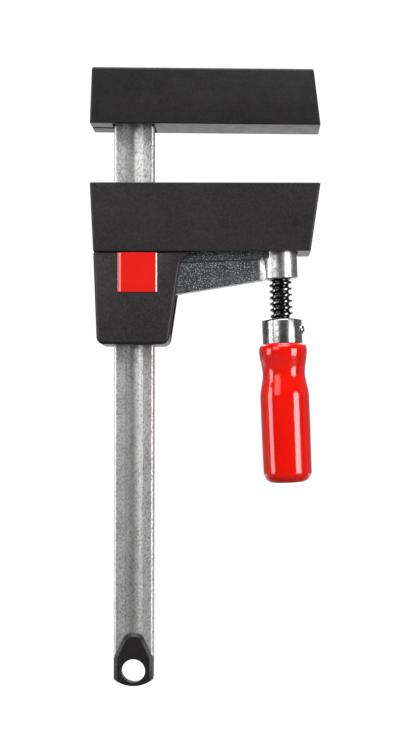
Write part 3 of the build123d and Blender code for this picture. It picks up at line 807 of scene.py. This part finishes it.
@dataclass
class ThreadedSpindle(SpindlePiece):
    """Spindle with a rolled right-hand thread, its journal above and its tang below."""

    title = "spindle_thread"
    slot = Slot.BLACK_STEEL
    stands_for = "spindle"

    shoulder: float
    tang_top: float
    pitch: float = 3.0 * MM
    crest_radius: float = 5.5 * MM
    root_radius: float = 3.95 * MM
    crest_share: float = 0.32
    root_share: float = 0.30
    rounding: float = 0.16
    phase: float = 0.35
    spare_turns: int = 3
    runout_turns: float = 0.8
    runout_radius: float = 4.7 * MM
    steps: int = 56
    plain_sides: int = 48
    tang_radius: float = 4.4 * MM
    tang_break: float = 0.6 * MM
    journal_radius: float = 3.45 * MM
    journal_break: float = 0.3 * MM
    journal_overlap: float = 0.1 * MM
    neck_radius: float = 2.2 * MM
    neck_low: float = -3.0 * MM
    neck_high: float = 0.0

    def profile(self) -> list[Point]:
        """One pitch of the thread, from the middle of a root.

        Returns:
            (share of the pitch, share of the thread's depth) pairs.
        """
        flank = (1 - self.crest_share - self.root_share) / 2
        root_end = self.root_share / 2
        crest_start = root_end + flank
        crest_end = crest_start + self.crest_share
        slope = flank * self.rounding
        return [
            (0.0, 0.0),
            (root_end * 0.8, 0.04),
            (root_end + slope, 0.20),
            (crest_start - slope, 0.80),
            (crest_start + 0.02, 0.97),
            ((crest_start + crest_end) / 2, 1.0),
            (crest_end - 0.02, 0.97),
            (crest_end + slope, 0.80),
            (1 - root_end - slope, 0.20),
            (1 - root_end * 0.8, 0.04),
        ]

    def thread(self) -> BMesh:
        """The threaded length, cut square at both ends."""
        mesh = bmesh.new()
        profile = self.profile()
        turns = math.ceil((self.shoulder - self.tang_top) / self.pitch) + self.spare_turns
        start = self.tang_top - self.spare_turns / 2 * self.pitch
        runout = self.runout_turns * self.pitch
        rings = []
        for step in range(turns * self.steps + 1):
            turn = step / self.steps
            row = []
            for share, rise in profile:
                height = start + (turn + share + self.phase) * self.pitch
                full = min(1.0, max(0.0, (height - self.tang_top) / runout))
                crest = self.runout_radius + (self.crest_radius - self.runout_radius) * full
                radius = self.root_radius + (crest - self.root_radius) * rise
                row.append(mesh.verts.new(MeshShop.turned(radius, math.tau * turn, height)))
            rings.append(row)
        rows = [row + above[:1] for row, above in zip(rings, rings[self.steps :])]
        rows += rings[-self.steps :]
        for row, following in zip(rows, rows[1:]):
            for a in range(min(len(row), len(following)) - 1):
                mesh.faces.new((row[a], following[a], following[a + 1], row[a + 1]))
        self._cut(mesh, self.tang_top, -1)
        self._cut(mesh, self.shoulder, 1)
        bmesh.ops.recalc_face_normals(mesh, faces=mesh.faces)
        return mesh

    @staticmethod
    def _cut(mesh: BMesh, height: float, side: int) -> None:
        """Trim a mesh at a height and close it there.

        Args:
            mesh: The mesh.
            height: Where to cut.
            side: 1 to drop what is above, -1 to drop what is below.
        """
        everything = mesh.verts[:] + mesh.edges[:] + mesh.faces[:]
        plane = {"plane_co": (0, 0, height), "plane_no": (0, 0, side)}
        bmesh.ops.bisect_plane(mesh, geom=everything, dist=CUT_SNAP, clear_outer=True, **plane)
        open_edges = [edge for edge in mesh.edges if edge.is_boundary]
        rim = [e for e in open_edges if all(abs(v.co.z - height) < CUT_REACH for v in e.verts)]
        bmesh.ops.holes_fill(mesh, edges=rim, sides=0)

    def journal(self) -> BMesh:
        """The turned journal with its neck, which the tilting barrel holds."""
        _, top = self.span()
        low = self.shoulder - self.journal_overlap
        wide, neck, soft = self.journal_radius, self.neck_radius, self.journal_break
        profile = [(0, low), (wide, low), (wide, self.neck_low), (neck, self.neck_low + soft)]
        profile += [(neck, self.neck_high - soft), (wide, self.neck_high)]
        profile += [(wide, top - soft), (wide - soft, top), (0, top)]
        return MeshShop.lathe(profile, self.plain_sides)

    def tang(self) -> BMesh:
        """The plain tang inside the handle."""
        low, _ = self.span()
        radius, soft = self.tang_radius, self.tang_break
        profile = [(0, low), (radius - soft, low), (radius, low + soft)]
        profile += [(radius, self.tang_top), (0, self.tang_top)]
        return MeshShop.lathe(profile, self.plain_sides)

    def mesh(self) -> BMesh:
        """Thread, journal and tang as one mesh."""
        whole = self.thread()
        for part in (self.journal(), self.tang()):
            data = bpy.data.meshes.new("part")
            part.to_mesh(data)
            part.free()
            whole.from_mesh(data)
            bpy.data.meshes.remove(data)
        return whole


@dataclass
class TurnedHandle(SpindlePiece):
    """Wooden handle: swollen shoulder, waist, straight grip and rounded end.

    Depths run down from the handle's top edge.
    """

    title = "handle_turned"
    slot = Slot.RED_LACQUER
    stands_for = "handle"

    top: float
    bore_low: float
    bore_radius: float
    neck_radius: float = 8.15 * MM
    top_radius: float = 10.1 * MM
    top_flat: float = 0.4 * MM
    shoulder_radius: float = 11.75 * MM
    shoulder_depth: float = 3.3 * MM
    shoulder_start: float = 0.1
    shoulder_shares: tuple[float, ...] = (0.0, 0.06, 0.14, 0.25, 0.4, 0.58, 0.78)
    waist_radius: float = 10.35 * MM
    waist_depth: float = 14.6 * MM
    grip_radius: float = 12.0 * MM
    grip_depth: float = 26.0 * MM
    belly_depth: float = 38.0 * MM
    foot_radius: float = 11.85 * MM
    end_radius: float = 5.0 * MM
    end_sweep: float = -85.0
    end_crown: float = 0.5 * MM
    sides: int = 128
    steps: int = 14

    def _ease(self, start: Point, end: Point) -> list[Point]:
        """Smooth run between two (radius, height) points.

        Args:
            start: Where it starts.
            end: Where it ends.

        Returns:
            The points after the start.
        """
        points = []
        for step in range(1, self.steps + 1):
            share = step / self.steps
            swell = share * share * (3 - 2 * share)
            radius = start[0] + (end[0] - start[0]) * swell
            points.append((radius, start[1] + (end[1] - start[1]) * share))
        return points

    def _round_end(self, foot: Point) -> list[Point]:
        """Arc from the side of the grip towards the crowned end.

        Args:
            foot: Where the side ends.

        Returns:
            The points after the foot.
        """
        points = []
        for step in range(1, self.steps + 1):
            angle = math.radians(self.end_sweep * step / self.steps)
            radius = foot[0] - self.end_radius + self.end_radius * math.cos(angle)
            points.append((radius, foot[1] + self.end_radius * math.sin(angle)))
        return points

    def profile(self) -> list[Point]:
        """Half section from the bottom of the bore over the outside to the end."""
        low, high = self.span()
        shoulder = (self.shoulder_radius, self.top - self.shoulder_depth)
        waist = (self.waist_radius, self.top - self.waist_depth)
        grip = (self.grip_radius, self.top - self.grip_depth)
        belly = (self.grip_radius, self.top - self.belly_depth)
        foot = (self.foot_radius, low + self.end_crown + self.end_radius)
        points = [(0, self.bore_low), (self.bore_radius, self.bore_low), (self.bore_radius, high)]
        points += [(self.neck_radius, high), (self.neck_radius, self.top)]
        points.append((self.top_radius - self.top_flat, self.top))
        for share in self.shoulder_shares:
            bulge = math.sqrt(1 - (1 - share) ** 2)
            depth = self.shoulder_start + (1 - self.shoulder_start) * share
            radius = self.top_radius + (self.shoulder_radius - self.top_radius) * bulge
            points.append((radius, self.top - depth * self.shoulder_depth))
        points.append(shoulder)
        points += self._ease(shoulder, waist) + self._ease(waist, grip) + [belly]
        points += self._ease(belly, foot) + self._round_end(foot)
        return points + [(0.5 * self.foot_radius, low + 0.5 * self.end_crown), (0, low)]

    def mesh(self) -> BMesh:
        """The turned handle."""
        return MeshShop.lathe(self.profile(), self.sides)


@dataclass
class FerruleSleeve(SpindlePiece):
    """Bright sleeve on the handle's neck, closed round the spindle at its top."""

    title = "ferrule_sleeve"
    slot = Slot.BRIGHT_STEEL
    stands_for = "ferrule"

    radius: float
    hole_radius: float
    wall: float
    chamfer: float = 0.75 * MM
    lip: float = 0.25 * MM
    lip_start: float = 0.3
    sides: int = 128

    def mesh(self) -> BMesh:
        """The hollow sleeve."""
        low, high = self.span()
        start = self.lip_start * self.lip
        loop = [
            (self.hole_radius, high),
            (self.radius - self.chamfer - self.lip, high),
            (self.radius - self.chamfer, high - start),
            (self.radius - start, high - self.chamfer),
            (self.radius, high - self.chamfer - self.lip),
            (self.radius, low + self.lip),
            (self.radius - self.lip, low),
            (self.radius - self.wall, low),
            (self.radius - self.wall, high - self.wall),
            (self.hole_radius, high - self.wall),
        ]
        return MeshShop.lathe(loop, self.sides, closed=True)


@dataclass
class DomedPin(SpindlePiece):
    """Cross pin through ferrule, handle and spindle, with one domed head and one flush end."""

    title = "handle_pin_domed"
    slot = Slot.BRIGHT_STEEL
    stands_for = "handle_pin"

    heading: float = 13.0
    drop: float = 1.2 * MM
    reach: float = 11.1 * MM
    flush: float = 9.3 * MM
    shank_radius: float = 1.6 * MM
    head_radius: float = 2.35 * MM
    head_height: float = 1.75 * MM
    rim: float = 0.35 * MM
    sides: int = 48
    steps: int = 8

    def mesh(self) -> BMesh:
        """The pin along its own axis, from the flush end to the head."""
        foot = self.reach - self.head_height
        rise = self.head_height - self.rim
        points = [(0, -self.flush), (self.shank_radius, -self.flush), (self.shank_radius, foot)]
        points += [(self.head_radius, foot), (self.head_radius, foot + self.rim)]
        for step in range(1, self.steps):
            angle = math.pi / 2 * step / self.steps
            height = foot + self.rim + rise * math.sin(angle)
            points.append((self.head_radius * math.cos(angle), height))
        return MeshShop.lathe(points + [(0, self.reach)], self.sides)

    def place(self) -> Matrix:
        """Across the spindle, a little below the middle of the CAD pin."""
        low, high = self.span()
        lift = Matrix.Translation((0, 0, (low + high) / 2 - self.drop))
        heading = Matrix.Rotation(math.radians(-self.heading), 4, "Z")
        return self.axis.matrix() @ lift @ heading @ Matrix.Rotation(math.pi / 2, 4, "Y")


@dataclass
class BadgePlate(ScenePiece):
    """Bare glossy insert with rolled-off sides.

    Its side is -1 in the housing's front and 1 in its back.
    """

    title: str
    side: int
    stands_for: str
    slot = Slot.RED_PLASTIC
    roll: float = 2.3 * MM
    roll_angle: float = 36.0
    back_depth: float = 1.7 * MM
    end_chamfer: float = 0.25 * MM
    steps: int = 8

    def _section(self, half: float, trim: float) -> list[Point]:
        """Section across the badge.

        Args:
            half: Half of its width.
            trim: How far the face and sides are drawn in, for the chamfered ends.

        Returns:
            (across, depth) pairs, with the depth growing inwards from the face.
        """
        sweep = math.radians(self.roll_angle)
        radius = self.roll / math.sin(sweep)
        right = []
        for step in range(self.steps + 1):
            angle = sweep * step / self.steps
            across = half - self.roll + radius * math.sin(angle) - trim
            right.append((across, radius * (1 - math.cos(angle)) + trim))
        right.append((half - trim, self.back_depth))
        left = [(-across, depth) for across, depth in reversed(right)]
        return left + right

    def mesh(self) -> BMesh:
        """The badge in its place, with its sections stacked upwards."""
        low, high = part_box(self.stands_for)
        face = low.y if self.side < 0 else high.y
        middle, half = (low.x + high.x) / 2, (high.x - low.x) / 2
        cut = self.end_chamfer
        rows = [(low.z, cut), (low.z + cut, 0.0), (high.z - cut, 0.0), (high.z, cut)]
        mesh = bmesh.new()
        rings = []
        for height, trim in rows:
            section = self._section(half, trim)
            points = [(middle + x, face - self.side * y, height) for x, y in section]
            rings.append([mesh.verts.new(point) for point in points])
        for below, above in zip(rings, rings[1:]):
            MeshShop.bridge(mesh, below, above)
        mesh.faces.new(rings[0])
        mesh.faces.new(rings[-1])
        bmesh.ops.recalc_face_normals(mesh, faces=mesh.faces)
        return mesh


@dataclass
class MouldedLip(ScenePiece):
    """Small square lip that closes a gap at the cover's lower edge."""

    title: str
    left: float
    right: float
    half_depth: float
    low: float
    high: float
    slot = Slot.BLACK_PLASTIC

    def mesh(self) -> BMesh:
        """The lip in its place."""
        mesh = bmesh.new()
        bmesh.ops.create_cube(mesh, size=1.0)
        for vertex in mesh.verts:
            vertex.co.x = self.right if vertex.co.x > 0 else self.left
            vertex.co.y = self.half_depth if vertex.co.y > 0 else -self.half_depth
            vertex.co.z = self.high if vertex.co.z > 0 else self.low
        return mesh


@dataclass
class Softbox:
    """Rectangular studio light that faces a point."""

    name: str
    azimuth: float
    elevation: float
    distance: float
    width: float
    height: float
    radiance: float

    def build(self, target: Vector) -> None:
        """Hang the light.

        Args:
            target: The point that it faces.
        """
        across, up = math.radians(self.azimuth), math.radians(self.elevation)
        level = math.cos(up)
        back = Vector((math.sin(across) * level, -math.cos(across) * level, math.sin(up)))
        data = bpy.data.lights.new(self.name, "AREA")
        data.shape = "RECTANGLE"
        data.size, data.size_y = self.width, self.height
        data.energy = self.radiance * math.pi * self.width * self.height
        light = bpy.data.objects.new(self.name, data)
        light.location = target + back * self.distance
        light.rotation_mode = "QUATERNION"
        light.rotation_quaternion = (-back).to_track_quat("-Z", "Y")
        bpy.context.scene.collection.objects.link(light)


@dataclass
class Studio:
    """Camera, floor, backdrop and lights."""

    picture_width: int = 408
    picture_height: int = 753
    sight_column: float = 249.0
    sight_row: float = 429.8
    roll: float = -0.08
    sensor: float = 36.0
    focal_pixels: float = 1733.0
    distance: float = 0.850
    sight_x: float = 56.20 * MM
    sight_z: float = -147.9 * MM
    floor_drop: float = 0.11
    floor_reach: float = 8.0
    floor_tone: Colour = grey(0.10)
    far_floor_tone: Colour = grey(0.30)
    far_floor_glow: Colour = grey(1.1)
    sky_tone: Colour = grey(0.04)
    white: float = 1.06

    def camera(self) -> None:
        """Make the camera: level, straight on, and shifted to the picture's frame."""
        data = bpy.data.cameras.new("camera")
        data.sensor_width = self.sensor
        data.lens = self.focal_pixels / self.picture_height * self.sensor
        data.shift_x = (self.picture_width / 2 - self.sight_column) / self.picture_height
        data.shift_y = (self.sight_row - self.picture_height / 2) / self.picture_height
        camera = bpy.data.objects.new("camera", data)
        camera.location = (self.sight_x, -self.distance, self.sight_z)
        camera.rotation_euler = (math.pi / 2, math.radians(self.roll), 0)
        bpy.context.scene.collection.objects.link(camera)
        bpy.context.scene.camera = camera

    def floor(self, low: float) -> None:
        """Lay the floor, which is plain white to the camera.

        Reflections see it dark in front and bright behind.

        Args:
            low: Height of the clamp's lowest point.
        """
        mesh = bmesh.new()
        reach = self.floor_reach
        corners = [(-reach, -reach), (reach, -reach), (reach, reach), (-reach, reach)]
        mesh.faces.new([mesh.verts.new((x, y, 0)) for x, y in corners])
        floor = MeshShop.piece("floor", mesh, Matrix.Translation((0, 0, low - self.floor_drop)))
        sheet = FinishSheet("pale_floor")
        middle = sheet.along("X").size().between(0.8, 1.8, 1.0, 0.15)
        behind = sheet.along("Y").between(0.05, 0.9) * middle
        sheet.surface(
            Base_Color=sheet.blend(behind, self.floor_tone, self.far_floor_tone),
            Roughness=0.9,
            Emission_Color=sheet.blend(behind, BLACK, self.far_floor_glow),
            Emission_Strength=1.0,
        )
        seen = sheet.node("ShaderNodeEmission", {}, {"Strength": self.white})
        mixed = sheet.for_camera(seen.outputs[0], sheet.shader.outputs[0])
        sheet.feed(sheet.tree.nodes["Material Output"].inputs["Surface"], mixed)
        dress(floor, sheet.material)
        floor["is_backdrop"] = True

    def sky(self) -> None:
        """Surround the clamp with a plain studio: white to the camera, dim for the lighting."""
        world = bpy.data.worlds.new("studio")
        bpy.context.scene.world = world
        world.use_nodes = True
        world.node_tree.nodes.clear()
        sheet = NodeSheet(world.node_tree)
        ray = sheet.node("ShaderNodeTexCoord", {}, {}).outputs["Generated"]
        depth = Signal(sheet, sheet.node("ShaderNodeSeparateXYZ", {}, {0: ray}).outputs["Y"])
        glow = depth.between(-0.15, 0.25) * 0.12 + depth.between(0.70, 1.0) * 0.15
        colour = sheet.blend(glow, self.sky_tone, WHITE)
        lit = sheet.node("ShaderNodeBackground", {}, {"Color": colour})
        seen = sheet.node("ShaderNodeBackground", {}, {"Color": WHITE, "Strength": self.white})
        mixed = sheet.for_camera(seen.outputs[0], lit.outputs[0])
        sheet.node("ShaderNodeOutputWorld", {}, {"Surface": mixed})

    def lights(self, target: Vector) -> None:
        """Hang the softboxes.

        Args:
            target: The middle of the clamp.
        """
        # Name, azimuth, elevation, distance, width, height and radiance.
        for box in (
            Softbox("right_box", 55, -6, 1.6, 0.74, 1.15, 9.0),
            Softbox("left_box", -74, -4, 1.6, 0.60, 1.3, 5.6),
            Softbox("high_left_box", -36, 24, 1.5, 0.75, 1.0, 2.4),
            Softbox("high_front_box", 5, 58, 1.6, 1.3, 1.0, 6.2),
            Softbox("top_box", 160, 62, 1.5, 1.2, 1.2, 1.2),
            Softbox("back_left_box", -162, 34, 1.8, 0.8, 0.8, 3.2),
            Softbox("back_right_box", 160, 34, 1.8, 0.8, 0.8, 3.2),
        ):
            box.build(target)

    def build(self) -> None:
        """Set everything up round the clamp."""
        low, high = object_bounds()
        self.camera()
        self.floor(low.z)
        self.sky()
        self.lights((low + high) / 2)
        bpy.context.scene.view_settings.view_transform = "Standard"
        log.info("studio ready")


@dataclass
class Clamp:
    """The whole clamp: its finishes and its pieces."""

    frame: dict[str, Any]
    # Painted light and shade: the black mouldings are one plastic given stepped tones, darkest on
    # the fixed jaw at the top and lightest on the housing at the bottom, for light that falls more
    # on the lower parts.
    jaw_shaded_tone: Colour = (0.0080, 0.0070, 0.0073)
    cover_tone: Colour = (0.0145, 0.0130, 0.0134)
    housing_lit_tone: Colour = (0.0180, 0.0162, 0.0166)
    tip_land: tuple[float, ...] = (79.9 * MM, 83.5 * MM, 12.0 * MM, -61.45 * MM, -59.5 * MM)
    heel_tongue: tuple[float, ...] = (-18.9 * MM, -16.3 * MM, 12.8 * MM, -62.9 * MM, -61.4 * MM)
    jaw_gate: Point = (79.2 * MM, 11.4 * MM)
    cover_gate: Point = (77.7 * MM, -47.5 * MM)
    cap_grain: float = 0.3 * MM
    housing_edge: float = 0.4 * MM
    arm_edge: float = 0.5 * MM
    thread_spare: float = 0.6 * MM
    ferrule_radius: float = 9.7 * MM
    ferrule_wall: float = 1.2 * MM

    def dress_mouldings(self) -> None:
        """Finish the black mouldings, with the lips that close the gaps at the cover's edge."""
        dresser = CadDresser(self.frame["nodes"])
        jaw = MouldedPolyamide("fixed_jaw_plastic", self.jaw_shaded_tone, gate_marks=(self.jaw_gate,))
        cover = MouldedPolyamide("cover_plastic", self.cover_tone, gate_marks=(self.cover_gate,))
        housing = MouldedPolyamide("housing_plastic", self.housing_lit_tone)
        cap = MouldedPolyamide("cap_plastic", grain=self.cap_grain)
        tip_land = MouldedLip("tip_land", *self.tip_land)
        heel_tongue = MouldedLip("heel_tongue", *self.heel_tongue)
        for name, plastic, edge, lip in (
            ("fixed_jaw_body", jaw, 0.0, None),
            ("movable_jaw_cover", cover, 0.0, tip_land),
            ("guide_housing", housing, self.housing_edge, heel_tongue),
            ("end_cap", cap, 0.0, None),
        ):
            material = plastic.build()
            dresser.finish([name], material, edge)
            if lip:
                lip.build(material)

    def dress_metal(self) -> None:
        """Finish the metal that stays as it was packed."""
        dresser = CadDresser(self.frame["nodes"])
        dresser.finish(["rail"], DrawnSteel().build())
        dresser.finish(["sliding_arm"], HammeredPaint().build(), self.arm_edge)
        boss = BrightPlate("boss_plate", grey(0.84), grey(0.34), 0.20).build()
        dresser.finish(["arm_boss"], boss)
        folded = SheetSteel("folded_sheet", (0.42, 0.43, 0.44), 0.30).build()
        dresser.finish(["fixed_jaw_channel", "movable_jaw_channel"], folded)
        ground = SheetSteel("ground_steel", (0.34, 0.34, 0.35), 0.18).build()
        inner = ["fixed_jaw_rivets", "channel_rivets", "thrust_block", "upper_guide_pin"]
        inner += ["lower_guide_plate", "brake_spring", "thrust_rocker", "retaining_pin"]
        dresser.finish(inner, ground)

    def build_badges(self) -> None:
        """Make both badges over the plain CAD ones."""
        plastic = RedPlastic().build()
        BadgePlate("front_badge_rolled", -1, "front_badge").build(plastic)
        BadgePlate("rear_badge_rolled", 1, "rear_badge").build(plastic)

    def build_spindle(self) -> None:
        """Make the spindle, its ferrule and its handle over the plain CAD ones."""
        axis = SpindleAxis.from_frame(self.frame)
        nodes = self.frame["nodes"]
        ferrule_low, ferrule_top = axis.span(nodes["ferrule"])
        barrel_low, _ = axis.span(nodes["thrust_rocker"])
        tang_low, _ = axis.span(nodes["spindle"])
        shoulder = barrel_low - self.thread_spare
        spindle = ThreadedSpindle(axis, nodes["spindle"], shoulder, ferrule_top - self.ferrule_wall)
        spindle.build(BlackenedSteel(spindle.crest_radius).build())
        plate = BrightPlate("ferrule_plate").build()
        sizes = (self.ferrule_radius, spindle.crest_radius, self.ferrule_wall)
        FerruleSleeve(axis, nodes["ferrule"], *sizes).build(plate)
        DomedPin(axis, nodes["handle_pin"]).build(plate)
        handle = TurnedHandle(axis, nodes["handle"], ferrule_low, tang_low, spindle.tang_radius)
        handle.build(RedLacquer().build())

    def build(self) -> None:
        """Dress the frame and add the scene's own pieces."""
        self.dress_mouldings()
        self.dress_metal()
        self.build_badges()
        self.build_spindle()


def main() -> None:
    """Build the clamp's looks and the studio round it."""
    logging.basicConfig(level=logging.INFO, format="%(message)s")
    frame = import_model()
    Clamp(frame).build()
    Studio().build()


if __name__ == "__main__":
    main()
